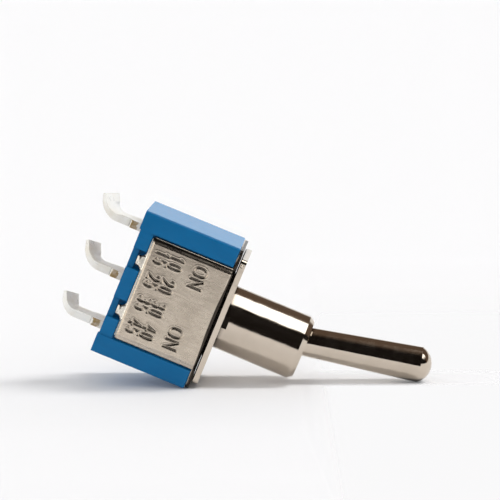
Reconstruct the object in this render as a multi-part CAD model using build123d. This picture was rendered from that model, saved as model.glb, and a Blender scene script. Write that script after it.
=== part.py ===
"""Miniature toggle switch: single pole, two ON positions, plain round bushing, blade terminals.

Millimetres. The origin is on the bushing's axis, on the flange face that seats against a panel.
+Z runs up the bushing towards the lever, the lever swings in the X-Z plane, and -Y is the front.
At rest the lever leans towards -X.
"""

import os
from math import cos, radians, sin, sqrt, tan

from build123d import *

# --- Driving dimensions -------------------------------------------------------------------------

# Case, moulded in one piece and open at the top
case_length = 13.5
case_width = 7.9
case_height = 8.9
case_corner_radius = 0.25
case_rim_chamfer = 0.08
case_wall = 0.95
case_floor = 1.15
end_column_length = 1.71      # full-depth columns at both ends of the front and back
foot_height = 0.12            # the columns reach this much lower than the walls between them
block_setback = 0.10          # the wall under each flap stands this much behind the columns
notch_length = 1.85
notch_depth = 0.62
notch_bite = 0.45             # how much further in the bent tab end goes
seal_well_depth = 0.50
seal_recess = 0.12            # the resin stops this far above the wall's lower edge

# Frame, one folded sheet
sheet = 0.3
ear_setback = 0.12            # the frame's ends stand this far inside the case's ends
ear_corner_radius = 0.5
flap_side_gap = 0.13          # between the flap and the case's columns
flap_drop = 7.52              # from the case's top edge to the flap's lower edge
flap_corner_radius = 0.35
bend_radius = 0.42            # outside of the fold between top plate and flap
edge_roll = 0.22              # the die rounds the sheet's outer edges
tab_length = 0.95
tab_root_bevel = 0.28
tab_bend_radius = 0.38
tab_bend_angle = 65.0
tab_chamfer = 0.12

# Bushing, one die casting
barrel_radius = 2.975
barrel_height = 7.6
rim_chamfer_width = 0.32
rim_chamfer_height = 0.46
flange_end_setback = 0.68     # from the frame's ends
flange_width = 7.7
flange_thickness = 0.58
flange_corner_radius = 0.35
flange_chamfer = 0.1
seat_ring_radius = 4.05
seat_ring_height = 0.06
keyway_length = 1.08
keyway_height = 0.5
keyway_depth = 0.32
keyway_sink = 0.05            # the cutter marks the flange this deep
stake_lip = 0.25
stake_height = 0.18
gate_stub_radius = 0.16
gate_stub_stand = 0.12
gate_stub_inset = 0.6         # from the flange's end
seat_cone_angle = 45.0        # of the conical seat over the ball, from the bushing's axis
bore_straight_top = 1.5       # the way in widens below this level

# Lever, turned, with a ball that rocks in the bushing
lever_swing = 22.4            # from one ON position to the other
pivot_height = 4.05
ball_radius = 2.2
neck_radius = 1.23            # at the ball's centre plane, if the taper ran on
handle_radius = 1.61          # where the nose begins
handle_reach = 14.0           # from the ball's centre to where the nose begins
nose_length = 1.05
stem_radius = 1.3
stem_length = 7.4
trunnion_radius = 0.5
trunnion_stand = 0.2          # how far each trunnion stands out of the ball

# Plunger and its spring, inside the stem
plunger_radius = 0.82
plunger_head_length = 4.6
spigot_radius = 0.36
spigot_length = 0.6
spring_bore_top = 1.1         # the bore ends this far under the ball's centre
spring_wire = 0.2
spring_turns = 3
wire_facets = 5

# Rocker and the bracket that it rocks in
rocker_swing = 10.5
rocker_sheet = 0.3
rocker_width = 2.1
rocker_overhang = 0.45        # past the middle of each contact
rocker_rise = 3.75            # each arm rises from the middle by this angle, in degrees
rocker_pin_radius = 0.3
rocker_corner_radius = 0.5
cradle_sheet = 0.3
cradle_length = 1.5

# Terminals
pad_end_gap = 0.25            # between the outer pads and the case's end walls
blade_thickness = 0.72
blade_tip_thickness = 0.28    # the feet are flattened towards their tips
blade_width = 2.03
pad_thickness = 0.5
pad_corner_radius = 0.2
outer_pad_length = 1.6
centre_pad_length = 1.8
outer_pad_width = 3.2
contact_radius = 0.72
contact_height = 0.35
contact_chamfer = 0.12
shoulder_width = 2.7          # the blade is wider where it leaves the case
shoulder_length = 1.1
shoulder_corner_radius = 0.2
blade_reach = 4.6             # from the case to the blade's tip, before it was bent
left_straight_length = 2.04
common_straight_length = 2.06
right_straight_length = 2.58
left_bend_radius = 1.5
common_bend_radius = 1.3
right_bend_radius = 0.95
bend_angle = 70.0
foot_twist = 32.0
foot_yaws = {"left_terminal": 5.0, "common_terminal": 18.0, "right_terminal": 18.0}

# Clearances
running_clearance = 0.05      # ball, trunnions, plunger and rocker pin
swing_clearance = 0.16        # round the lever at the ends of its swing
assembly_clearance = 0.03     # parts that are put together and stay still
case_seat_gap = 0.04
contact_gap = 0.05            # under the closed end of the rocker
plunger_gap = 0.05            # over the rocker, as the lever passes the middle

overcut = 1.0                 # cutting tools run this far past the faces they cut

# --- Derived levels and places --------------------------------------------------------------------

cavity_length = case_length - 2 * case_wall
cavity_width = case_width - 2 * case_wall
terminal_pitch = (cavity_length - outer_pad_length) / 2 - pad_end_gap
tab_pitch = terminal_pitch
frame_length = case_length - 2 * ear_setback
flap_length = case_length - 2 * (end_column_length + flap_side_gap)
flange_length = frame_length - 2 * flange_end_setback

rest_tilt = lever_swing / 2
flange_bottom = -flange_thickness
frame_top = flange_bottom - seat_ring_height
frame_bottom = frame_top - sheet
case_top = frame_bottom - case_seat_gap
case_bottom = case_top - case_height
wall_bottom = case_bottom + foot_height
well_top = wall_bottom + seal_well_depth
floor_top = well_top + case_floor
pad_top = floor_top + pad_thickness
contact_top = pad_top + contact_height
flap_bottom = case_top - flap_drop

closed_slope = rocker_swing / 2 - rocker_rise
rocker_axis_height = (
    contact_top + contact_gap + rocker_sheet / 2 + terminal_pitch * tan(radians(closed_slope))
)
rocker_top = rocker_axis_height + rocker_sheet / 2
rocker_reach = terminal_pitch + rocker_overhang
plunger_reach = pivot_height - rocker_top - plunger_gap
plunger_top = plunger_reach - plunger_head_length
stem_bore_radius = plunger_radius + running_clearance

front = case_width / 2
recess_half = case_length / 2 - end_column_length
boss_radius = barrel_radius
boss_bottom = frame_bottom - stake_height
lip_radius = boss_radius + stake_lip
tab_places = (-tab_pitch / 2, tab_pitch / 2)
tab_straight_end = flap_bottom - tab_root_bevel
terminal_places = {
    "left_terminal": -terminal_pitch,
    "common_terminal": 0.0,
    "right_terminal": terminal_pitch,
}
straight_lengths = {
    "left_terminal": left_straight_length,
    "common_terminal": common_straight_length,
    "right_terminal": right_straight_length,
}
bend_radii = {
    "left_terminal": left_bend_radius,
    "common_terminal": common_bend_radius,
    "right_terminal": right_bend_radius,
}


def lever_radius(reach):
    """Radius of the tapered handle at a distance from the ball's centre."""
    return neck_radius + (handle_radius - neck_radius) * reach / handle_reach


def block(x_span, y_span, z_span):
    """Box from its three pairs of limits."""
    size = [max(span) - min(span) for span in (x_span, y_span, z_span)]
    middle = [(max(span) + min(span)) / 2 for span in (x_span, y_span, z_span)]
    return Pos(*middle) * Box(*size)


def centred(length):
    return (-length / 2, length / 2)


# --- Case ---------------------------------------------------------------------------------------


def make_case():
    shell = extrude(
        Pos(0, 0, case_bottom) * RectangleRounded(case_length, case_width, case_corner_radius),
        case_height,
    )
    top_edges = shell.faces().sort_by(Axis.Z)[-1].edges()
    shell = chamfer(top_edges, case_rim_chamfer)
    below = case_bottom - overcut
    above = case_top + overcut
    shell -= block(centred(cavity_length), centred(cavity_width), (floor_top, above))
    shell -= block(centred(cavity_length), centred(cavity_width), (below, well_top))
    shell -= block((-recess_half, recess_half), centred(case_width + overcut), (below, wall_bottom))
    for side in (-1, 1):
        shell -= flap_recess(side)
        for place in tab_places:
            shell -= tab_notch(place, side)
    counterbore = Cylinder(lip_radius + 2 * assembly_clearance, 2 * stake_height)
    shell -= Pos(0, 0, case_top) * counterbore
    for place in terminal_places.values():
        shell -= blade_slot(place)
    return shell


def flap_recess(side):
    """Room for the flap, and the shallower setback of the wall below it."""
    behind_flap = front - sheet - assembly_clearance
    outside = case_width
    recess = block(
        (-recess_half, recess_half),
        (side * behind_flap, side * outside),
        (flap_bottom - assembly_clearance, case_top + overcut),
    )
    setback = block(
        (-recess_half, recess_half),
        (side * (front - block_setback), side * outside),
        (case_bottom - overcut, flap_bottom),
    )
    return recess + setback


def tab_notch(place, side):
    """Notch down to the lower edge, with a pocket over which the tab's end is bent."""
    across = (place - notch_length / 2, place + notch_length / 2)
    notch = block(
        across,
        (side * (front - notch_depth), side * case_width),
        (case_bottom - overcut, flap_bottom),
    )
    pocket = block(
        across,
        (side * (front - notch_depth - notch_bite), side * front),
        (tab_straight_end - tab_bend_radius - assembly_clearance, tab_straight_end + sheet),
    )
    return notch + pocket


def blade_slot(place):
    return block(
        (place - blade_thickness / 2 - assembly_clearance, place + blade_thickness / 2 + assembly_clearance),
        centred(shoulder_width + 2 * assembly_clearance),
        (case_bottom, floor_top + overcut),
    )


def make_terminal_seal():
    """Resin cast into the well round the three blades."""
    seal = block(centred(cavity_length), centred(cavity_width), (wall_bottom + seal_recess, well_top))
    for place in terminal_places.values():
        seal -= block(
            (place - blade_thickness / 2, place + blade_thickness / 2),
            centred(shoulder_width),
            (case_bottom, floor_top),
        )
    return seal


# --- Frame --------------------------------------------------------------------------------------


def make_frame():
    frame = folded_strip()
    for side in (-1, 1):
        frame = frame & flap_outline(side)
    frame = fillet(rolled_edges(frame), edge_roll)
    for side in (-1, 1):
        for place in tab_places:
            frame += bent_tab(place, side)
    frame += ears()
    frame -= Cylinder(boss_radius + assembly_clearance, 4 * sheet).moved(Pos(0, 0, frame_bottom))
    return frame


def folded_strip():
    """Top plate and both flaps, as wide as the flaps, down to where the tabs start to bend."""
    height = frame_top - tab_straight_end
    outside = Rectangle(case_width, height, align=(Align.CENTER, Align.MAX))
    outside = fillet(outside.vertices().group_by(Axis.Y)[-1], bend_radius)
    inside = Pos(0, -sheet) * Rectangle(case_width - 2 * sheet, height, align=(Align.CENTER, Align.MAX))
    inside = fillet(inside.vertices().group_by(Axis.Y)[-1], bend_radius - sheet)
    section = Plane.YZ * Pos(0, frame_top) * (outside - inside)
    return extrude(section, flap_length / 2, both=True)


def flap_outline(side):
    """Prism of one flap's outline, with its tab roots, that leaves the other half alone."""
    drop = frame_top - flap_bottom
    plate = Rectangle(flap_length, drop, align=(Align.CENTER, Align.MAX))
    plate = fillet(plate.vertices().group_by(Axis.Y)[0], flap_corner_radius)
    for place in tab_places:
        narrow, low = tab_length / 2, -tab_root_bevel
        wide = narrow + tab_root_bevel
        root = Polyline((-wide, 0), (-narrow, low), (narrow, low), (wide, 0), close=True)
        plate += Pos(place, -drop) * make_face(root)
    outline = Plane.XZ * Pos(0, frame_top) * plate
    prism = extrude(outline, -side * case_width)
    other_half = block(centred(flap_length), (0, -side * case_width), (tab_straight_end, frame_top))
    return prism + other_half


def rolled_edges(frame):
    """Outer edges of the flaps and folds, without the seams where a flap, fold or bent tab carries on."""
    picked = ShapeList()
    for edge in frame.edges():
        middle = edge.center()
        at_seam = any(
            abs(middle.Z - level) < 0.01 for level in (frame_top - bend_radius, tab_straight_end)
        )
        on_flap = abs(abs(middle.Y) - front) < 0.01
        on_fold = (
            edge.geom_type == GeomType.CIRCLE
            and abs(edge.radius - bend_radius) < 0.01
            and middle.Z > frame_top - bend_radius
        )
        if (on_flap or on_fold) and not at_seam:
            picked.append(edge)
    return picked


def bent_tab(place, side):
    """Tab end, bent in over the case's ledge."""
    section = Rectangle(tab_length, sheet)
    section = chamfer(section.vertices().group_by(Axis.Y)[-1], tab_chamfer)
    bend_axis = Axis((place, side * (front - tab_bend_radius), tab_straight_end), (-side, 0, 0))
    start = Plane(
        origin=(place, side * (front - sheet / 2), tab_straight_end),
        x_dir=(-side, 0, 0),
        z_dir=(0, 0, -1),
    )
    return revolve(start * section, bend_axis, tab_bend_angle)


def ears():
    """Flat ends of the top plate, over the case's end columns."""
    plate = RectangleRounded(frame_length, case_width - sheet / 2, ear_corner_radius)
    plate -= Rectangle(flap_length - sheet, case_width)
    return extrude(Pos(0, 0, frame_bottom) * plate, sheet)


# --- Bushing ------------------------------------------------------------------------------------


def make_bushing():
    flange = extrude(
        Pos(0, 0, flange_bottom) * RectangleRounded(flange_length, flange_width, flange_corner_radius),
        flange_thickness,
    )
    flange = chamfer(flange.faces().sort_by(Axis.Z)[0].edges(), flange_chamfer)
    bushing = flange + barrel()
    bushing += Pos(0, 0, frame_top) * Cylinder(
        seat_ring_radius, seat_ring_height, align=(Align.CENTER, Align.CENTER, Align.MIN)
    ) & flange_prism()
    bushing += staked_boss()
    bushing += gate_stub()
    bushing -= bushing_bore()
    bushing -= block(
        centred(keyway_length),
        (-barrel_radius - keyway_sink, -barrel_radius + keyway_depth),
        (-keyway_sink, keyway_height),
    )
    return bushing


def flange_prism():
    return extrude(
        Pos(0, 0, frame_bottom) * RectangleRounded(flange_length, flange_width, flange_corner_radius),
        sheet + seat_ring_height + flange_thickness,
    )


def barrel():
    profile = Polyline(
        (0, 0),
        (barrel_radius, 0),
        (barrel_radius, barrel_height - rim_chamfer_height),
        (barrel_radius - rim_chamfer_width, barrel_height),
        (0, barrel_height),
        close=True,
    )
    return revolve(Plane.XZ * make_face(profile), Axis.Z)


def staked_boss():
    """Boss through the frame's hole, with its end spread under the sheet."""
    profile = Polyline(
        (0, flange_bottom),
        (boss_radius, flange_bottom),
        (boss_radius, frame_bottom),
        (lip_radius, frame_bottom),
        (boss_radius, boss_bottom),
        (0, boss_bottom),
        close=True,
    )
    return revolve(Plane.XZ * make_face(profile), Axis.Z)


def gate_stub():
    place = (-flange_length / 2 + gate_stub_inset, -flange_width / 2, flange_bottom + flange_thickness / 2)
    stub = Cylinder(gate_stub_radius, 2 * gate_stub_stand)
    return Pos(*place) * Rot(90, 0, 0) * chamfer(stub.edges(), gate_stub_stand / 2)


def bushing_bore():
    """Conical ball seat, the opening that the lever swings in, and the way in from below."""
    seat_radius = ball_radius + running_clearance
    swing = tan(radians(rest_tilt))

    def opening(height_over_pivot):
        half = lever_radius(height_over_pivot) / cos(radians(rest_tilt))
        return height_over_pivot * swing + half + swing_clearance

    # the cone touches the ball's clearance sphere all round and ends where the opening begins
    slope = tan(radians(seat_cone_angle))
    cone_apex = seat_radius / sin(radians(seat_cone_angle))
    cone_start = cone_apex - seat_radius / slope
    lip_height = (cone_apex * slope - opening(0)) / (slope + swing)
    lip_opening = (cone_apex - lip_height) * slope
    lower_half = stem_radius / cos(radians(rest_tilt)) + swing_clearance
    lower_radius = max(seat_radius, (pivot_height - boss_bottom) * swing + lower_half)
    way_up = Polyline(
        (0, 0),
        (seat_radius, 0),
        (seat_radius, cone_start),
        (lip_opening, lip_height),
        (opening(barrel_height - pivot_height), barrel_height - pivot_height),
        (opening(barrel_height - pivot_height), barrel_height - pivot_height + overcut),
        (0, barrel_height - pivot_height + overcut),
        close=True,
    )
    way_in = Polyline(
        (0, 0),
        (seat_radius, 0),
        (seat_radius, bore_straight_top - pivot_height),
        (lower_radius, boss_bottom - pivot_height),
        (lower_radius, boss_bottom - pivot_height - overcut),
        (0, boss_bottom - pivot_height - overcut),
        close=True,
    )
    bore = revolve(Plane.XZ * make_face(way_up), Axis.Z) + revolve(Plane.XZ * make_face(way_in), Axis.Z)
    groove_radius = trunnion_radius + running_clearance
    groove_span = 2 * (ball_radius + trunnion_stand + running_clearance)
    groove = Rot(90, 0, 0) * Cylinder(groove_radius, groove_span)
    groove += block(
        centred(2 * groove_radius), centred(groove_span), (boss_bottom - pivot_height - overcut, 0)
    )
    return Pos(0, 0, pivot_height) * (bore + groove)


# --- Lever, plunger and spring, modelled upright round the ball's centre ----------------------------


def lean(solid):
    """Carry a solid from upright, with the ball's centre at the origin, to the rest position."""
    return Pos(0, 0, pivot_height) * Rot(0, -rest_tilt, 0) * solid


def make_lever():
    """Handle, ball and bored stem, turned from one bar, with a trunnion on each side of the ball."""
    nose_top = handle_reach + nose_length
    nose_radius = (handle_radius**2 + nose_length**2) / (2 * nose_length)
    neck_height = sqrt(ball_radius**2 - lever_radius(ball_radius) ** 2)
    neck = (lever_radius(neck_height), sqrt(ball_radius**2 - lever_radius(neck_height) ** 2))
    shoulder = (stem_radius, -sqrt(ball_radius**2 - stem_radius**2))
    outline = RadiusArc((0, nose_top), (handle_radius, handle_reach), nose_radius)
    outline += Line((handle_radius, handle_reach), neck)
    outline += ThreePointArc(neck, (ball_radius, 0), shoulder)
    outline += Polyline(
        shoulder,
        (stem_radius, -stem_length),
        (stem_bore_radius, -stem_length),
        (stem_bore_radius, -spring_bore_top),
        (0, -spring_bore_top),
        (0, nose_top),
    )
    turned = revolve(Plane.XZ * make_face(outline), Axis.Z)
    trunnions = Rot(90, 0, 0) * Cylinder(trunnion_radius, 2 * (ball_radius + trunnion_stand))
    trunnions -= Cylinder(stem_radius, 2 * stem_length)
    return lean(turned + trunnions)


def make_plunger():
    head_length = plunger_head_length - plunger_radius
    head = Pos(0, 0, -plunger_top) * Cylinder(
        plunger_radius, head_length, align=(Align.CENTER, Align.CENTER, Align.MAX)
    )
    tip = Pos(0, 0, -plunger_reach + plunger_radius) * Sphere(plunger_radius)
    spigot = Pos(0, 0, -plunger_top) * Cylinder(
        spigot_radius, spigot_length, align=(Align.CENTER, Align.CENTER, Align.MIN)
    )
    return lean(head + tip + spigot)


def make_plunger_spring():
    coil_radius = stem_bore_radius - assembly_clearance - spring_wire / 2
    lowest = -plunger_top + spring_wire / 2
    length = plunger_top - spring_bore_top - spring_wire
    path = Helix(pitch=length / spring_turns, height=length, radius=coil_radius)
    start = Plane(origin=path @ 0, z_dir=path % 0)
    coil = sweep(start * RegularPolygon(spring_wire / 2, wire_facets), path=path, is_frenet=True)
    return lean(Pos(0, 0, lowest) * coil)


# --- Rocker and cradle ------------------------------------------------------------------------------


def make_rocker_contact():
    """Seesaw strip with rising arms and a round pin, tilted onto the right-hand contact."""
    rise = tan(radians(rocker_rise))
    end_height = rocker_reach * rise
    half = rocker_sheet / 2
    strip = Polyline(
        (0, half),
        (rocker_reach, end_height + half),
        (rocker_reach, end_height - half),
        (0, -half),
        (-rocker_reach, end_height - half),
        (-rocker_reach, end_height + half),
        close=True,
    )
    rocker = extrude(Plane.XZ * make_face(strip), rocker_width / 2, both=True)
    corners = [edge for edge in rocker.edges() if is_arm_corner(edge)]
    rocker = fillet(corners, rocker_corner_radius)
    pin_span = rocker_width + 2 * (cradle_sheet + 2 * running_clearance) + rocker_sheet
    pins = Rot(90, 0, 0) * Cylinder(rocker_pin_radius, pin_span)
    pins -= block(centred(cradle_length), centred(rocker_width - rocker_sheet), centred(cradle_length))
    rocker += pins
    return Pos(0, 0, rocker_axis_height) * Rot(0, rocker_swing / 2, 0) * rocker


def is_arm_corner(edge):
    """True for the four short edges at the corners of the arms' ends."""
    middle = edge.center()
    at_end = abs(middle.X) > rocker_reach - rocker_sheet
    return at_end and edge.length < 2 * rocker_sheet and abs(middle.Y) > rocker_width / 4


def make_pivot_cradle():
    """Bracket with an open notch in each ear, in which the rocker's pin turns."""
    inner = rocker_width / 2 + running_clearance
    outer = inner + cradle_sheet
    ear_top = rocker_axis_height + rocker_pin_radius
    bracket = block(centred(cradle_length), centred(2 * outer), (pad_top, ear_top))
    bracket -= block(
        centred(cradle_length + overcut), centred(2 * inner), (pad_top + cradle_sheet, ear_top + overcut)
    )
    notch_radius = rocker_pin_radius + running_clearance
    notch = Rot(90, 0, 0) * Cylinder(notch_radius, 4 * outer)
    notch += block(centred(2 * notch_radius), centred(4 * outer), (0, 2 * rocker_pin_radius))
    return bracket - Pos(0, 0, rocker_axis_height) * notch


# --- Terminals --------------------------------------------------------------------------------------


def make_terminal(name):
    """Pad inside the case, blade through the floor, and the foot bent and twisted below it."""
    place = terminal_places[name]
    is_common = name == "common_terminal"
    pad_length = centre_pad_length if is_common else outer_pad_length
    bend_start = case_bottom - straight_lengths[name]
    pad = block(
        (place - pad_length / 2, place + pad_length / 2), centred(outer_pad_width), (floor_top, pad_top)
    )
    pad = fillet(pad.edges().filter_by(Axis.Z), pad_corner_radius)
    blade = block(
        (place - blade_thickness / 2, place + blade_thickness / 2),
        centred(blade_width),
        (bend_start, floor_top),
    )
    shoulder = block(
        (place - blade_thickness / 2, place + blade_thickness / 2),
        centred(shoulder_width),
        (case_bottom - shoulder_length, floor_top),
    )
    blade += fillet(shoulder.edges().filter_by(Axis.X).group_by(Axis.Z)[0], shoulder_corner_radius)
    foot = bent_foot((place, 0, bend_start), straight_lengths[name], bend_radii[name], foot_yaws[name])
    return pad + blade + foot


def bent_foot(start, straight_length, bend_radius, yaw, stations=5):
    """Blade carried round the bend while it yaws, twists and thins, then straight on to its tip."""
    foot_length = blade_reach - straight_length
    step = bend_radius * radians(bend_angle) / stations
    place = Vector(*start)
    sections = [blade_section(place, 0, yaw, blade_thickness)]
    for n in range(1, stations + 1):
        place += blade_plane(place, (n - 0.5) / stations, yaw).z_dir * step
        thinned = (blade_thickness - blade_tip_thickness) * n * step / foot_length
        sections.append(blade_section(place, n / stations, yaw, blade_thickness - thinned))
    place += blade_plane(place, 1, yaw).z_dir * (foot_length - stations * step)
    sections.append(blade_section(place, 1, yaw, blade_tip_thickness))
    return loft(sections, ruled=True)


def blade_plane(place, share, yaw):
    """Cross-section plane a share of the way through the bend; z_dir runs along the blade."""
    along = Vector(0, 0, -1).rotate(Axis.Y, share * bend_angle)
    thickness = Vector(1, 0, 0).rotate(Axis.Y, share * bend_angle)
    along = along.rotate(Axis.Z, -share * yaw)
    thickness = thickness.rotate(Axis.Z, -share * yaw)
    thickness = thickness.rotate(Axis((0, 0, 0), along), -share * foot_twist)
    return Plane(origin=place, x_dir=thickness, z_dir=along)


def blade_section(place, share, yaw, thickness):
    return blade_plane(place, share, yaw) * Rectangle(thickness, blade_width)


def make_contact(place):
    """Silver rivet head on an outer terminal's pad."""
    head = Pos(place, 0, pad_top) * Cylinder(
        contact_radius, contact_height, align=(Align.CENTER, Align.CENTER, Align.MIN)
    )
    return chamfer(head.edges().group_by(Axis.Z)[-1], contact_chamfer)


# --- Write every piece ------------------------------------------------------------------------------

pieces = {
    "case": make_case(),
    "frame": make_frame(),
    "bushing": make_bushing(),
    "lever": make_lever(),
    "plunger": make_plunger(),
    "plunger_spring": make_plunger_spring(),
    "rocker_contact": make_rocker_contact(),
    "pivot_cradle": make_pivot_cradle(),
    "left_contact": make_contact(-terminal_pitch),
    "right_contact": make_contact(terminal_pitch),
    "terminal_seal": make_terminal_seal(),
}
for terminal in terminal_places:
    pieces[terminal] = make_terminal(terminal)

os.makedirs("parts", exist_ok=True)
for name, shape in pieces.items():
    export_step(shape, f"parts/{name}.step")
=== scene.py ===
"""Looks for the miniature toggle switch: stamped frame, plating, blue case, studio and camera."""
import math

import bmesh
import bpy
import numpy as np
from mathutils import Matrix, Vector
from mathutils.geometry import delaunay_2d_cdt


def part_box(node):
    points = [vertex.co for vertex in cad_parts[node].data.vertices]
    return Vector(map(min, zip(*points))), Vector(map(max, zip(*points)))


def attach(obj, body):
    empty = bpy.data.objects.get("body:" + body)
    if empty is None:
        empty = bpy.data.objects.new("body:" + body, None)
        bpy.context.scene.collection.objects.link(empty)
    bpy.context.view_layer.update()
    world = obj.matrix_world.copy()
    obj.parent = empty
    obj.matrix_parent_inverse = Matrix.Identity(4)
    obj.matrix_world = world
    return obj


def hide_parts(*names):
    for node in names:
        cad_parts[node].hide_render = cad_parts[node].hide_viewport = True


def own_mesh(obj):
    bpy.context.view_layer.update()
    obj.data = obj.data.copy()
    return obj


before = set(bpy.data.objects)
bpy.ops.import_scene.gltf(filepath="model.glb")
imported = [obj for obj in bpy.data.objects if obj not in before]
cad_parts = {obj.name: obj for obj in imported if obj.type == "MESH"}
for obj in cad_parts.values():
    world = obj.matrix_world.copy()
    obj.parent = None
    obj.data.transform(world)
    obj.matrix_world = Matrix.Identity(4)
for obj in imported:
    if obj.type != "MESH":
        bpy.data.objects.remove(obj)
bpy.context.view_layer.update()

MM = 0.001

# --- Places on the switch, in millimetres ---------------------------------------------------------

front_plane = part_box("frame")[0][1] / MM
case_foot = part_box("case")[0][2] / MM
barrel_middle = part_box("bushing")[1][2] / 2 / MM


def radius_above(node, height):
    """Largest distance from the bushing's axis of a CAD node's points above a height."""
    points = [v.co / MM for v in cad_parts[node].data.vertices]
    return max(p.xy.length for p in points if p.z > height)


barrel_radius = radius_above("bushing", barrel_middle)
flap_half = 4.91
flap_bottom = -8.5

# --- Node helpers ---------------------------------------------------------------------------------


class Nodes:
    """A node tree with short calls for the nodes that materials and the world share."""

    def __init__(self, tree):
        self.tree = tree

    def add(self, kind, **settings):
        node = self.tree.nodes.new(kind)
        for key, value in settings.items():
            setattr(node, key, value)
        return node

    def link(self, source, target):
        self.tree.links.new(source, target)

    def fill(self, socket, value):
        """Link a socket to another one, or give it a number, a direction, or a colour as a tuple."""
        if hasattr(value, "links"):
            self.link(value, socket)
        elif isinstance(value, tuple):
            socket.default_value = (*value, 1)
        else:
            socket.default_value = value

    def math(self, operation, *values, clamp=False):
        node = self.add("ShaderNodeMath", operation=operation, use_clamp=clamp)
        for socket, value in zip(node.inputs, values):
            self.fill(socket, value)
        return node.outputs[0]

    def product(self, first, *others):
        for value in others:
            first = self.math("MULTIPLY", first, value)
        return first

    def span(self, value, low, high, out_low=0.0, out_high=1.0):
        """Map a value's range to another, clamped and smooth."""
        node = self.add("ShaderNodeMapRange", interpolation_type="SMOOTHSTEP")
        self.link(value, node.inputs["Value"])
        for key, number in (
            ("From Min", low), ("From Max", high), ("To Min", out_low), ("To Max", out_high),
        ):
            node.inputs[key].default_value = number
        return node.outputs["Result"]

    def mix(self, share, first, second):
        """Mix of two colours, the second one's share from 0 to 1."""
        node = self.add("ShaderNodeMix", data_type="RGBA")
        for name, value in (("Factor", share), ("A", first), ("B", second)):
            self.fill([s for s in node.inputs if s.name == name and s.enabled][0], value)
        return [s for s in node.outputs if s.enabled][0]

    def dot(self, vector, direction):
        """Dot product of a vector socket with another socket or a fixed direction."""
        node = self.add("ShaderNodeVectorMath", operation="DOT_PRODUCT")
        self.link(vector, node.inputs[0])
        self.fill(node.inputs[1], direction)
        return node.outputs["Value"]

    def shader_mix(self, share, first, second):
        node = self.add("ShaderNodeMixShader")
        for socket, source in zip(node.inputs, (share, first, second)):
            self.link(source, socket)
        return node.outputs[0]


class Shader(Nodes):
    """A material on the Principled shader, with patterns in millimetres."""

    def __init__(self, name):
        self.material = bpy.data.materials.new(name)
        self.material.use_nodes = True
        super().__init__(self.material.node_tree)
        self.bsdf = self.tree.nodes["Principled BSDF"]
        self.output = self.tree.nodes["Material Output"]
        self.place = self.add("ShaderNodeTexCoord").outputs

    def set(self, **values):
        """Constants on the shader's own sockets, spaces written as underscores."""
        for key, value in values.items():
            self.bsdf.inputs[key.replace("_", " ")].default_value = value

    def feed(self, socket, source):
        self.link(source, self.bsdf.inputs[socket])

    def stretched(self, scale=(1, 1, 1)):
        """Object coordinates in millimetres, scaled per axis."""
        mapping = self.add("ShaderNodeMapping")
        mapping.inputs["Scale"].default_value = [value / MM for value in scale]
        self.link(self.place["Object"], mapping.inputs["Vector"])
        return mapping.outputs["Vector"]

    def axes(self):
        """The object coordinates X, Y and Z, in millimetres."""
        return self.split(self.stretched())

    def facing(self):
        """The X, Y and Z of the surface's normal, in the object's own directions."""
        return self.split(self.place["Normal"])

    def split(self, vector):
        parts = self.add("ShaderNodeSeparateXYZ")
        self.link(vector, parts.inputs[0])
        return [parts.outputs[name] for name in "XYZ"]

    def noise(self, scale, detail, roughness, stretch=(1, 1, 1), distortion=0):
        """Noise from 0 to 1, with a scale in features per millimetre."""
        node = self.add("ShaderNodeTexNoise")
        node.inputs["Scale"].default_value = scale
        node.inputs["Detail"].default_value = detail
        node.inputs["Roughness"].default_value = roughness
        node.inputs["Distortion"].default_value = distortion
        self.link(self.stretched(stretch), node.inputs["Vector"])
        return node.outputs["Fac"]

    def bump(self, height, distance_mm, strength=1.0, normal=None):
        """A height from 0 to 1 as relief, laid over another normal."""
        node = self.add("ShaderNodeBump")
        node.inputs["Strength"].default_value = strength
        node.inputs["Distance"].default_value = distance_mm * MM
        self.link(height, node.inputs["Height"])
        if normal is not None:
            self.link(normal, node.inputs["Normal"])
        return node.outputs["Normal"]

    def grazing(self, low, high):
        """0 on faces seen square on, 1 on faces seen edge on."""
        return self.span(self.add("ShaderNodeLayerWeight").outputs["Facing"], low, high)

    def edge(self, reach_mm, alike=(0.80, 0.97)):
        """1 along sharp edges, 0 on open faces, where a bevelled normal is like the true one."""
        rounded = self.add("ShaderNodeBevel", samples=4)
        rounded.inputs["Radius"].default_value = reach_mm * MM
        true_normal = self.add("ShaderNodeNewGeometry").outputs["Normal"]
        return self.span(self.dot(rounded.outputs[0], true_normal), *alike, 1.0, 0.0)

    def crevice(self, reach_mm, low=0.3, high=0.9):
        """1 deep in narrow gaps and inside corners, 0 on open faces."""
        node = self.add("ShaderNodeAmbientOcclusion", samples=8)
        node.inputs["Distance"].default_value = reach_mm * MM
        return self.span(node.outputs["AO"], low, high, 1.0, 0.0)


def dress(names, material):
    """Give CAD nodes a material."""
    for name in names:
        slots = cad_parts[name].data.materials
        slots.clear()
        slots.append(material)


# --- Plating and terminals ------------------------------------------------------------------------

# Colour of the painted shade in crevices and gaps, and of the dirt and painted shade in the frame's
# characters
crevice_shade_and_dirt = (0.05, 0.042, 0.035)
# Colour of the painted shade in the bushing's keyway and under its flange
painted_recess_shade = (0.012, 0.010, 0.008)
nickel = (0.63, 0.55, 0.46)
nickel_shade = (0.50, 0.43, 0.345)
silver = (0.93, 0.92, 0.88)
silver_shade = (0.72, 0.64, 0.50)
# Colour of the painted shade along the blades' sharp edges
edge_painted_shade = (0.45, 0.38, 0.29)
# Colour of a brown patch on the blades' near side, below the case
patch_brown = (0.36, 0.24, 0.09)
spring_steel = (0.62, 0.61, 0.6)
spring_steel_shade = (0.4, 0.38, 0.36)

# Painted shade on the bushing: in the keyway, which is cut into the barrel's front, and under the
# flange
keyway_inset = 0.03
keyway_from_axis = 0.8 * barrel_radius
keyway_top = 0.52
under_flange = (-0.55, -0.47)

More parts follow.
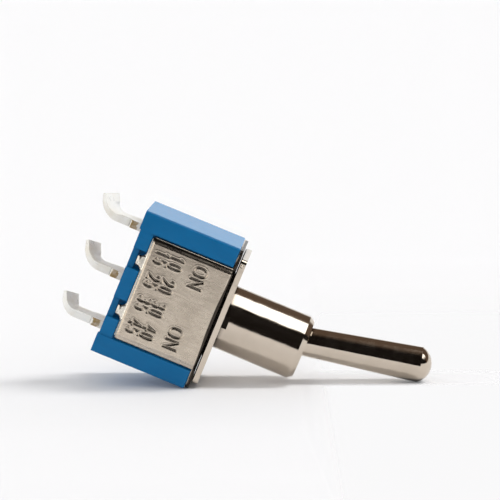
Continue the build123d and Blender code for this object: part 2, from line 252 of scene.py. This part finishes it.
# A brown patch on the terminals' near side, in millimetres below the case
brown_patch_start = (0.30, 0.42)
brown_patch_end = (0.95, 1.05)
brown_patch_raggedness = 0.9
brown_patch_side = -0.7               # the normal's Y, from which a face counts as the near side


def bushing_painted_shade(s):
    """1 where shade is painted: on the faces of the keyway at the foot of the barrel, and under the
    flange.
    """
    x, y, z = s.axes()
    radius = s.math("SQRT", s.math("ADD", s.product(x, x), s.product(y, y)))
    inside_wall = s.math("LESS_THAN", radius, barrel_radius - keyway_inset)
    in_front = s.math("LESS_THAN", y, -keyway_from_axis)
    keyway = s.product(inside_wall, in_front, s.math("LESS_THAN", z, keyway_top))
    return s.math("MAXIMUM", keyway, s.span(z, *under_flange, 1, 0))


def plated_metal(
    name, colour, shade, roughness, grain, wobble=0.0, tarnish=0.35, painted_shade_place=None,
):
    """Bright plating: colour drifts to a shade in clouds, with fine scratches and painted shade in
    crevices.

    `roughness` is its range, `grain` the stretch of the scratches, and `wobble` the depth in
    millimetres of the unevenness that bends reflections.
    """
    s = Shader(name)
    clouds = s.product(s.span(s.noise(0.35, 3, 0.6), 0.42, 0.7), tarnish)
    specks = s.product(s.span(s.noise(7, 2, 0.6), 0.66, 0.74), 0.35)
    clean = s.mix(s.math("ADD", clouds, specks, clamp=True), colour, shade)
    # Painted shade in crevices, and at a given place
    shaded = s.mix(s.crevice(0.6), clean, crevice_shade_and_dirt)
    if painted_shade_place:
        shaded = s.mix(painted_shade_place(s), shaded, painted_recess_shade)
    s.feed("Base Color", shaded)
    scratches = s.noise(1.6, 4, 0.7, stretch=grain)
    s.feed("Roughness", s.span(scratches, 0.3, 0.75, *roughness))
    s.set(Metallic=1.0)
    surface = s.bump(scratches, 0.004, 0.5)
    if wobble:
        surface = s.bump(s.noise(0.9, 1, 0.5), wobble, normal=surface)
    s.feed("Normal", surface)
    return s.material


def silvered_blade():
    """Matt silver over brass, with painted shade along its edges and a brown patch on its near side
    below the case.
    """
    s = Shader("silvered_blade")
    clouds = s.span(s.noise(0.6, 3, 0.6), 0.40, 0.72, 0, 0.45)
    clean = s.mix(clouds, silver, silver_shade)
    # Painted shade along the sharp edges
    clean = s.mix(s.product(s.edge(0.07), 0.7), clean, edge_painted_shade)
    marked = s.mix(brown_patch(s), clean, patch_brown)
    # Painted shade in crevices
    s.feed("Base Color", s.mix(s.crevice(0.25), marked, crevice_shade_and_dirt))
    scratches = s.noise(1.6, 4, 0.7, stretch=(1, 1, 0.2))
    s.feed("Roughness", s.span(scratches, 0.3, 0.75, 0.26, 0.42))
    s.set(Metallic=0.1)
    surface = s.bump(scratches, 0.003, 0.4)
    s.feed("Normal", s.bump(s.noise(0.7, 1, 0.5), 0.006, normal=surface))
    return s.material


def brown_patch(s):
    """1 on a ragged patch of the blade's near side, just below the case."""
    ragged = s.product(s.math("SUBTRACT", s.noise(2.2, 3, 0.6), 0.5), brown_patch_raggedness)
    below_case = s.math("ADD", s.math("SUBTRACT", case_foot, s.axes()[2]), ragged)
    patch = s.product(s.span(below_case, *brown_patch_start), s.span(below_case, *brown_patch_end, 1, 0))
    near_side = s.math("LESS_THAN", s.facing()[1], brown_patch_side)
    blotches = s.span(s.noise(1.4, 3, 0.6), 0.35, 0.6, 0.55, 1.0)
    return s.product(patch, near_side, blotches)


# --- Mouldings ------------------------------------------------------------------------------------

case_blue = (0.004, 0.119, 0.292)
case_blue_streak = (0.005, 0.133, 0.322)
case_scuff = (0.03, 0.2, 0.42)
# Paler blue of the painted sheen where the case is seen edge on
case_painted_sheen = (0.01, 0.21, 0.47)
resin_brown = (0.05, 0.012, 0.01)
resin_red = (0.13, 0.03, 0.02)
nylon = (0.82, 0.81, 0.77)
nylon_shade = (0.72, 0.71, 0.66)


def blue_plastic():
    """Glossy moulded case with flow streaks and faint scuffs, and a painted sheen: paler where it is
    seen edge on.
    """
    s = Shader("moulded_blue")
    streaks = s.noise(0.5, 4, 0.65, stretch=(1.0, 1.0, 0.25), distortion=0.6)
    base = s.mix(s.span(streaks, 0.35, 0.7), case_blue, case_blue_streak)
    scuffs = s.span(s.noise(1.3, 5, 0.75, stretch=(1, 1, 0.15)), 0.66, 0.76, 0, 0.25)
    marked = s.mix(scuffs, base, case_scuff)
    # Painted sheen: the base colour turns paler where the surface is seen edge on
    s.feed("Base Color", s.mix(s.grazing(0.6, 0.88), marked, case_painted_sheen))
    s.feed("Roughness", s.span(s.noise(2.2, 4, 0.7), 0.3, 0.75, 0.16, 0.26))
    s.set(Specular_IOR_Level=0.14)
    surface = s.bump(s.noise(9, 2, 0.6), 0.0015, 0.3)
    s.feed("Normal", s.bump(s.noise(0.8, 2, 0.5), 0.012, 0.6, surface))
    return s.material


def resin():
    """Glassy cast resin with a slack surface."""
    s = Shader("potting_resin")
    s.feed("Base Color", s.mix(s.span(s.noise(1.2, 4, 0.6), 0.35, 0.7), resin_brown, resin_red))
    s.feed("Roughness", s.span(s.noise(3, 3, 0.6), 0.3, 0.7, 0.12, 0.3))
    s.feed("Normal", s.bump(s.noise(0.9, 3, 0.6), 0.05, 0.8))
    return s.material


def white_plastic():
    """Matt natural nylon."""
    s = Shader("natural_nylon")
    s.feed("Base Color", s.mix(s.noise(2, 3, 0.6), nylon_shade, nylon))
    s.feed("Roughness", s.span(s.noise(5, 3, 0.6), 0.3, 0.7, 0.45, 0.6))
    s.set(Subsurface_Weight=0.1, Subsurface_Scale=0.3 * MM)
    s.feed("Normal", s.bump(s.noise(12, 2, 0.6), 0.005, 0.5))
    return s.material


# --- The CAD nodes' own materials -----------------------------------------------------------------

dress(["bushing"], plated_metal(
    "bright_nickel_cast", nickel, nickel_shade, roughness=(0.07, 0.16), grain=(1, 1, 0.1),
    wobble=0.02, painted_shade_place=bushing_painted_shade,
))
dress(["lever"], plated_metal(
    "bright_nickel_turned", nickel, nickel_shade, roughness=(0.06, 0.14), grain=(0.25, 0.25, 1),
    wobble=0.008,
))
dress(["left_terminal", "common_terminal", "right_terminal"], silvered_blade())
dress(["left_contact", "right_contact", "rocker_contact", "pivot_cradle"], plated_metal(
    "silvered_contact", silver, silver_shade, roughness=(0.2, 0.35), grain=(1, 0.3, 1),
    wobble=0.01, tarnish=0.4,
))
dress(["plunger_spring"], plated_metal(
    "spring_wire", spring_steel, spring_steel_shade, roughness=(0.2, 0.35), grain=(1, 1, 1),
))
dress(["plunger"], white_plastic())
dress(["terminal_seal"], resin())
dress(["case"], blue_plastic())

# --- Characters struck in the front flap ----------------------------------------------------------

arc_steps = 8
letter_gap = 0.2
same_point = 1e-6


def arc(cx, cy, rx, ry, start, end):
    """Points on an ellipse between two angles in degrees."""
    angles = np.radians(np.linspace(start, end, arc_steps + 1))
    return [(cx + rx * math.cos(a), cy + ry * math.sin(a)) for a in angles]


# Strokes of each character in a box 1 wide and 1 high, from its lower left corner
glyphs = {
    "O": [
        arc(0.5, 0.62, 0.42, 0.38, 0, 180) + arc(0.5, 0.38, 0.42, 0.38, 180, 360) + [(0.92, 0.62)]
    ],
    "N": [[(0.1, 0), (0.1, 1), (0.9, 0), (0.9, 1)]],
    "0": [
        arc(0.5, 0.64, 0.34, 0.36, 0, 180) + arc(0.5, 0.36, 0.34, 0.36, 180, 360) + [(0.84, 0.64)]
    ],
    "1": [[(0.3, 0.78), (0.55, 1), (0.55, 0)]],
    "2": [arc(0.5, 0.7, 0.36, 0.3, 170, -35) + [(0.12, 0), (0.9, 0)]],
    "3": [arc(0.46, 0.74, 0.34, 0.26, 150, -80), arc(0.46, 0.26, 0.38, 0.27, 85, -150)],
    "4": [[(0.68, 0), (0.68, 1), (0.1, 0.3), (0.92, 0.3)]],
    "5": [[(0.84, 1), (0.24, 1), (0.18, 0.55)] + arc(0.46, 0.31, 0.4, 0.31, 110, -145)],
}


def strokes(text, x_span, z_span):
    """Segments of a line of text, its characters evenly spaced over the span.

    A closed character can end where it started; a stroke of no length is left out.
    """
    low, high = x_span
    bottom, top = z_span
    pitch = (high - low + letter_gap) / len(text)
    width = pitch - letter_gap
    found = []
    for place, letter in enumerate(text):
        left = low + place * pitch
        for line in glyphs.get(letter, []):
            points = [(left + u * width, bottom + v * (top - bottom)) for u, v in line]
            found += [(a, b) for a, b in zip(points, points[1:]) if math.dist(a, b) > same_point]
    return found


stamped_lines = (
    strokes("ON", (-3.95, -1.92), (-4.09, -2.88))
    + strokes("ON", (1.90, 3.93), (-4.09, -2.88))
    + strokes("10 20 30 40", (-4.05, 3.90), (-6.33, -5.17))
    + strokes("15 25 35 45", (-3.98, 3.88), (-7.68, -6.52))
)
groove_depth = 0.1
groove_half_width = 0.135
groove_floor_radius = 0.02
burr_height = 0.008
burr_width = 0.06
burr_from_middle = 1.25 * groove_half_width
panel_x = (-4.5, 4.5)
panel_z = (-8.1, -2.4)
panel_margin = 0.01             # points nearer to the rim are shaded as the flat sheet around it
grid_spacing = 0.038
in_plane = 1e-3                 # how far from the front plane a vertex still counts as on it
facing_front = -0.8             # the normal's Y, from which a corner belongs to the flap's face
smooth_up_to = 35               # degrees
weld_distance = 1e-7            # metres


def stamp_height(x, z):
    """Height of the stamped surface over the flat sheet at many points."""
    nearest = np.full(x.shape, np.inf)
    for (ax, az), (bx, bz) in stamped_lines:
        dx, dz = bx - ax, bz - az
        along = np.clip(((x - ax) * dx + (z - az) * dz) / (dx * dx + dz * dz), 0, 1)
        nearest = np.minimum(nearest, np.hypot(x - ax - along * dx, z - az - along * dz))
    from_middle = np.hypot(nearest, groove_floor_radius) / groove_half_width
    groove = groove_depth * (1 - np.clip(from_middle, 0, 1))
    burr = burr_height * np.exp(-(((nearest - burr_from_middle) / burr_width) ** 2))
    return burr - groove


def inside(point, edges):
    """Even-odd test of a point against closed loops of edges, in the flap's plane."""
    crossings = 0
    for (ax, az), (bx, bz) in edges:
        if (az > point.y) != (bz > point.y):
            crossings += point.x < ax + (point.y - az) * (bx - ax) / (bz - az)
    return crossings % 2 == 1


def fill_ring(bm, outer, inner):
    """Flat faces between the flap's outline and the stamped panel's rim."""
    verts = list({v for e in outer + inner for v in e.verts})
    number = {v: n for n, v in enumerate(verts)}
    points = [Vector((v.co.x, v.co.z)) / MM for v in verts]
    pairs = [tuple(number[v] for v in e.verts) for e in outer + inner]
    triangles = delaunay_2d_cdt(points, pairs, [], 0, same_point)[2]
    flap, panel = ([[points[number[v]] for v in e.verts] for e in loop] for loop in (outer, inner))
    for triangle in triangles:
        centre = sum((points[n] for n in triangle), Vector((0, 0))) / 3
        if inside(centre, flap) and not inside(centre, panel):
            bm.faces.new([verts[n] for n in triangle])


def grid_lines(low, high):
    """Evenly spaced places of the panel's grid lines."""
    return np.linspace(low, high, int((high - low) / grid_spacing) + 1)


def stamped_panel(bm):
    """Fine grid with the stamping in it; returns its rim."""
    across, up = np.meshgrid(grid_lines(*panel_x), grid_lines(*panel_z))
    height = stamp_height(across, up)
    verts = [
        [bm.verts.new((x * MM, (front_plane - h) * MM, z * MM)) for x, z, h in zip(*line)]
        for line in zip(across, up, height)
    ]
    for lower, upper in zip(verts, verts[1:]):
        for a, b, c, d in zip(lower, lower[1:], upper[1:], upper):
            bm.faces.new((a, b, c, d))
    sides = [verts[0], verts[-1], [row[0] for row in verts], [row[-1] for row in verts]]
    return [bm.edges.get(pair) for side in sides for pair in zip(side, side[1:])]


def on_panel(x, z):
    """Whether a point lies well inside the stamped panel."""
    (left, right), (low, high) = panel_x, panel_z
    return (
        left + panel_margin < x < right - panel_margin
        and low + panel_margin < z < high - panel_margin
    )


def level_normals(mesh):
    """Smooth shading below an angle, with the flap's flat surround kept exactly level."""
    mesh.normals_split_custom_set([(0, 0, 0)] * len(mesh.loops))  # zeros drop the CAD's own normals
    mesh.shade_smooth()
    mesh.set_sharp_from_angle(angle=math.radians(smooth_up_to))
    normals = [n.vector.copy() for n in mesh.corner_normals]
    for corner, loop in enumerate(mesh.loops):
        x, y, z = mesh.vertices[loop.vertex_index].co / MM
        on_face = abs(y - front_plane) < in_plane and normals[corner].y < facing_front
        if on_face and not on_panel(x, z):
            normals[corner] = Vector((0, -1, 0))
    mesh.normals_split_custom_set(normals)


# --- Sheet metal of the frame ---------------------------------------------------------------------

sheet_nickel = (0.65, 0.565, 0.465)
sheet_nickel_shade = (0.57, 0.49, 0.40)
sheet_speck = (0.42, 0.35, 0.285)
# Colour of the painted highlight along the flap's bottom lip
sheet_painted_highlight = (0.86, 0.81, 0.72)

# The die's rounding at the flap's rims, and a painted highlight along the lip at the bottom, by
# distance from the rim
die_roll_span = (0.10, 0.62)
die_roll_depth = 0.2
bottom_roll_narrowing = 1.6
bottom_highlight_span = (0.12, 0.22)

# Painted shade on top of the fold under the flange, by Z, reaching lower in the middle of the flap
fold_shade_from = (-0.91, -0.84)
fold_shade_sag = 0.16
fold_shade_half = 2.6

# A painted dark reflection beside the flap's -X rim, by distance from it
rim_dark_start = (0.07, 0.14)
rim_dark_end = (0.34, 0.56)
rim_dark_narrowing = 0.03
rim_dark_back = front_plane + 0.05

# Dirt and painted shade in the characters: by depth, and by how far the groove's walls face sideways
groove_darkening_depth = (front_plane + 0.008, front_plane + 0.03)
groove_darkening_sideways = (0.05, 0.25)
groove_darkening_share = (0.3, 0.95)


def fold_painted_shade(s):
    """1 along the top of the fold, where shade under the flange is painted."""
    x, _, z = s.axes()
    across = s.math("DIVIDE", x, fold_shade_half)
    sag = s.math("DIVIDE", fold_shade_sag, s.math("ADD", 1.0, s.math("POWER", across, 4.0)))
    return s.span(s.math("ADD", z, sag), *fold_shade_from)


def rim_painted_dark_reflection(s):
    """1 beside the flap's -X rim, where a dark reflection is painted, in a band that narrows towards
    the fold.
    """
    x, y, z = s.axes()
    from_rim = s.math("ADD", x, flap_half)
    narrowing = s.product(s.math("SUBTRACT", z, flap_bottom), rim_dark_narrowing)
    inner = s.span(s.math("ADD", from_rim, narrowing), *rim_dark_end, 1, 0)
    in_front = s.math("LESS_THAN", y, rim_dark_back)
    return s.product(s.span(from_rim, *rim_dark_start), inner, in_front)


def struck_dirt_and_shade(s):
    """Dirt and painted shade in the stamped characters, most in strokes along the flap's height."""
    facing_x, _, facing_z = s.facing()
    sideways = s.math("SUBTRACT", s.math("ABSOLUTE", facing_x), s.math("ABSOLUTE", facing_z))
    share = s.span(sideways, *groove_darkening_sideways, *groove_darkening_share)
    x, y, z = s.axes()
    deep = s.span(y, *groove_darkening_depth)
    across = s.math("LESS_THAN", s.math("ABSOLUTE", x), panel_x[1])
    below_top = s.math("LESS_THAN", z, panel_z[1])
    on_front = s.math("LESS_THAN", y, 0)
    return s.product(share, deep, across, below_top, on_front)


def sheet_metal():
    """Satin nickel on rolled sheet: grain along Z, mottling and the die's rounding at its rims; a
    painted highlight on the bottom lip, painted shade in crevices and on the fold, a painted dark
    reflection beside the -X rim, and dirt with painted shade in the characters.
    """
    s = Shader("satin_nickel_sheet")
    base = s.mix(s.span(s.noise(0.55, 4, 0.6), 0.35, 0.7), sheet_nickel, sheet_nickel_shade)
    base = s.mix(s.span(s.noise(6, 3, 0.6), 0.62, 0.75, 0, 0.5), base, sheet_speck)
    x, _, z = s.axes()
    to_side = s.math("SUBTRACT", flap_half, s.math("ABSOLUTE", x))
    to_bottom = s.math("SUBTRACT", z, flap_bottom)
    # Painted highlight along the bottom lip
    base = s.mix(s.span(to_bottom, *bottom_highlight_span, 1, 0), base, sheet_painted_highlight)
    # Painted shade in crevices and on the fold, painted dark reflection beside the -X rim, dirt and
    # painted shade in the characters
    dirt_and_painted_shade = s.crevice(0.4, high=0.85)
    for darkening in (struck_dirt_and_shade(s), fold_painted_shade(s), rim_painted_dark_reflection(s)):
        dirt_and_painted_shade = s.math("MAXIMUM", dirt_and_painted_shade, darkening)
    s.feed("Base Color", s.mix(dirt_and_painted_shade, base, crevice_shade_and_dirt))
    rolling = s.noise(5, 3, 0.6, stretch=(1, 1, 0.12))
    s.feed("Roughness", s.span(rolling, 0.3, 0.7, 0.22, 0.32))
    s.set(Metallic=1.0)
    grain = s.bump(rolling, 0.003, 0.5)
    wavy = s.bump(s.noise(0.45, 2, 0.5), 0.03, 0.7, grain)
    to_rim = s.math("MINIMUM", to_side, s.product(to_bottom, bottom_roll_narrowing))
    s.feed("Normal", s.bump(s.span(to_rim, *die_roll_span), die_roll_depth, normal=wavy))
    return s.material


def copy_of(node, name):
    """A new piece with a copy of a CAD node's own mesh."""
    piece = bpy.data.objects.new(name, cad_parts[node].data.copy())
    piece.data.name = name
    bpy.context.scene.collection.objects.link(piece)
    return piece


def on_front_plane(face):
    """Whether a face is part of the front flap's flat side."""
    return all(abs(v.co.y / MM - front_plane) < in_plane for v in face.verts)


def stamped_frame():
    """The CAD frame's own mesh with a finely meshed, stamped panel let into the front flap."""
    piece = copy_of("frame", "stamped_frame")
    mesh = piece.data
    bm = bmesh.new()
    bm.from_mesh(mesh)
    bmesh.ops.remove_doubles(bm, verts=bm.verts, dist=weld_distance)
    flat = {f for f in bm.faces if on_front_plane(f)}
    edges = {e for f in flat for e in f.edges}
    outline = [e for e in edges if sum(f in flat for f in e.link_faces) == 1]
    bmesh.ops.delete(bm, geom=list(flat), context="FACES_KEEP_BOUNDARY")
    fill_ring(bm, outline, stamped_panel(bm))
    bmesh.ops.recalc_face_normals(bm, faces=bm.faces)
    bm.to_mesh(mesh)
    bm.free()
    level_normals(mesh)
    mesh.materials.clear()
    mesh.materials.append(sheet_metal())
    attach(piece, "switch_body")
    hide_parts("frame")


stamped_frame()

# --- Plunger spring -------------------------------------------------------------------------------

stem_axis = Vector((-0.194234, 0, 0.980955))   # the lever's axis at rest


def shortening_spring():
    """A copy of the CAD spring's own mesh, riding with the lever."""
    piece = copy_of("plunger_spring", "shortening_spring")
    along = [v.co.dot(stem_axis) for v in piece.data.vertices]
    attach(piece, "lever")
    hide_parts("plunger_spring")
    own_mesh(piece)


shortening_spring()

# --- Camera and table -----------------------------------------------------------------------------

camera_azimuth = math.radians(8.255)
camera_elevation = math.radians(0.116)
camera_roll = math.radians(112.406)
camera_distance = 201.744 * MM
camera_target = Vector((-6.442, 0, -0.201)) * MM
camera_clip = (0.01, 20)        # metres, as is table_size
focal_pixels = 2256.954
picture_pixels = 500
sensor_width = 36.0

table_size = 6.0
table_search_steps = 40         # halvings of the range in which the table's tilt lies
table_colour = (0.845, 0.84, 0.847)
dark_room = (0.008, 0.006, 0.005)

# Distances on the table from the origin, in millimetres: towards the camera, or towards the lever's
# tip. A switch on its side has no room for the lever's other position, so the camera sees through
# the table there; a strip of it stays for the lever's shadow.
dark_table_from = (60, 160)
lever_swing_from = (6.5, 10.0)
lever_swing_behind = (-80.0, -15.0)
open_in_front = (20.0, 75.0)
lever_shadow_behind = 1.0
lever_shadow_reach = (2.3, 4.2)
lever_shadow = 0.9              # how much of the strip stays


def outline_points(names):
    """X and Z of every vertex of some CAD nodes."""
    points = [v.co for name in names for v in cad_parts[name].data.vertices]
    return np.array([(p.x, p.z) for p in points])


def resting_plane():
    """The table under the switch's +X side, touched by the case's edge and the lever's dome."""
    lever = outline_points(["lever"])
    body = outline_points(["case", "frame", "bushing"])
    low, high = 0.0, math.pi / 2
    for _ in range(table_search_steps):
        tilt = (low + high) / 2
        down = np.array((math.cos(tilt), math.sin(tilt)))
        if (lever @ down).max() < (body @ down).max():
            low = tilt
        else:
            high = tilt
    return Vector((-down[0], 0, -down[1])), -float((body @ down).max())


def make_camera():
    """The photo's camera; returns the direction from its target to it."""
    away = Vector((
        -math.sin(camera_azimuth) * math.cos(camera_elevation),
        -math.cos(camera_azimuth) * math.cos(camera_elevation),
        math.sin(camera_elevation),
    ))
    right = Vector((0, 0, 1)).cross(away).normalized()
    up = away.cross(right)
    turned_right = math.cos(camera_roll) * right + math.sin(camera_roll) * up
    turned_up = math.cos(camera_roll) * up - math.sin(camera_roll) * right
    data = bpy.data.cameras.new("camera")
    data.sensor_width = sensor_width
    data.lens = focal_pixels / picture_pixels * sensor_width
    data.clip_start, data.clip_end = camera_clip
    camera = bpy.data.objects.new("camera", data)
    bpy.context.scene.collection.objects.link(camera)
    axes = Matrix((turned_right, turned_up, away)).transposed()
    camera.matrix_world = Matrix.Translation(camera_target + away * camera_distance) @ axes.to_4x4()
    bpy.context.scene.camera = camera
    return away


def table_material(ahead):
    """Pale, unlit near the camera in reflections, and see-through to the camera in places.

    Those are its underside, its front, and beside the bushing's mouth, where the lever of a switch
    that lies on its side would swing down into it; the backdrop there has the table's level.
    """
    s = Shader("pale_table")
    s.tree.nodes.remove(s.bsdf)
    forward = s.dot(s.stretched(), ahead)
    aside = s.dot(s.stretched(), table_up.cross(ahead))
    rays = s.add("ShaderNodeLightPath").outputs
    unlit = s.product(s.span(forward, *dark_table_from), rays["Is Glossy Ray"])
    diffuse = s.add("ShaderNodeBsdfDiffuse")
    s.link(s.mix(unlit, table_colour, dark_room), diffuse.inputs["Color"])
    beside = s.product(s.span(aside, *lever_swing_from), s.span(forward, *lever_swing_behind))
    from_shadow = s.math("ABSOLUTE", s.math("ADD", forward, lever_shadow_behind))
    kept = s.span(from_shadow, *lever_shadow_reach, lever_shadow, 0)
    opening = s.product(beside, s.math("SUBTRACT", 1.0, kept))
    opening = s.math("MAXIMUM", opening, s.span(forward, *open_in_front))
    underside = s.add("ShaderNodeNewGeometry").outputs["Backfacing"]
    see_through = s.product(s.math("MAXIMUM", opening, underside), rays["Is Camera Ray"])
    clear = s.add("ShaderNodeBsdfTransparent")
    top = s.shader_mix(see_through, diffuse.outputs[0], clear.outputs[0])
    s.link(top, s.output.inputs["Surface"])
    return s.material


def make_table(ahead):
    """Table top, facing up at the switch."""
    side = Vector((0, 1, 0))
    end = table_up.cross(side)
    centre = table_up * table_offset
    corners = [
        centre + (a * side + b * end) * table_size / 2
        for a, b in ((-1, -1), (1, -1), (1, 1), (-1, 1))
    ]
    mesh = bpy.data.meshes.new("table")
    mesh.from_pydata([tuple(c) for c in corners], [], [(0, 1, 2, 3)])
    mesh.update()
    if mesh.polygons[0].normal.dot(table_up) < 0:
        mesh.flip_normals()
    mesh.materials.append(table_material(ahead))
    table = bpy.data.objects.new("table", mesh)
    bpy.context.scene.collection.objects.link(table)


# --- Light ----------------------------------------------------------------------------------------

# Turns are degrees up from the camera's side, over the top. Sideways is how far a direction points
# right, towards the lever's tip, from -1 to 1; height and nearness point up and to the camera.
backdrop_colour = (0.952, 0.948, 0.954)
brown_wall = (0.13, 0.09, 0.065)
brown_from = (60, 100)
back_wall = (0.95, 0.95, 0.95)
back_wall_from = (157, 165)
left_screen = (1.5, 1.46, 1.40)
left_screen_from = (-0.45, -0.6)
softbox_turn = (57, 106)
softbox_sideways = (0.26, 0.9)
softbox_blur = (2, 0.05)
softbox_level = 2.6
key_turn = (89, 101)
key_sideways = (0.35, 0.72)
key_blur = (1, 0.02)
key_level = 19.0
tent_heights = (0, 0.9)
tent_horizon = 2.05
tent_top = 0.33
dim_front = (0.88, 0.88, 0.88)
dim_front_from = (-0.3, 0.7)


def make_world(ahead):
    """A photographer's tent with a soft key light; mirrors see a softbox among dark walls."""
    world = bpy.data.worlds.new("studio")
    bpy.context.scene.world = world
    world.use_nodes = True
    world.node_tree.nodes.clear()
    w = Nodes(world.node_tree)
    direction = w.add("ShaderNodeTexCoord").outputs["Generated"]
    right = table_up.cross(ahead)
    height, nearness, sideways = (w.dot(direction, axis) for axis in (table_up, ahead, right))
    turn = w.math("MULTIPLY", w.math("ARCTAN2", height, nearness), 180 / math.pi)

    def band(value, low, high, blur):
        rising = w.span(value, low - blur, low + blur)
        return w.product(rising, w.span(value, high - blur, high + blur, 1, 0))

    def panel(turns, shares, blur):
        return w.product(band(turn, *turns, blur[0]), band(sideways, *shares, blur[1]))

    def background(colour):
        node = w.add("ShaderNodeBackground")
        w.fill(node.inputs["Color"], colour)
        return node.outputs[0]

    walls = w.mix(w.span(turn, *brown_from), dark_room, brown_wall)
    walls = w.mix(w.span(turn, *back_wall_from), walls, back_wall)
    walls = w.mix(w.span(sideways, *left_screen_from), walls, left_screen)
    softbox = panel(softbox_turn, softbox_sideways, softbox_blur)
    mirrored = w.mix(softbox, walls, (softbox_level,) * 3)
    tent = w.span(height, *tent_heights, tent_horizon, tent_top)
    tent = w.mix(w.span(nearness, *dim_front_from), tent, dim_front)
    lit = w.mix(panel(key_turn, key_sideways, key_blur), tent, (key_level,) * 3)
    rays = w.add("ShaderNodeLightPath").outputs
    room = w.shader_mix(rays["Is Glossy Ray"], background(lit), background(mirrored))
    seen = w.shader_mix(rays["Is Camera Ray"], room, background(backdrop_colour))
    w.link(seen, w.add("ShaderNodeOutputWorld").inputs["Surface"])


bpy.context.scene.view_settings.view_transform = "Standard"
table_up, table_offset = resting_plane()
towards_camera = make_camera()
along_table = (towards_camera - towards_camera.dot(table_up) * table_up).normalized()
make_table(along_table)
make_world(along_table)
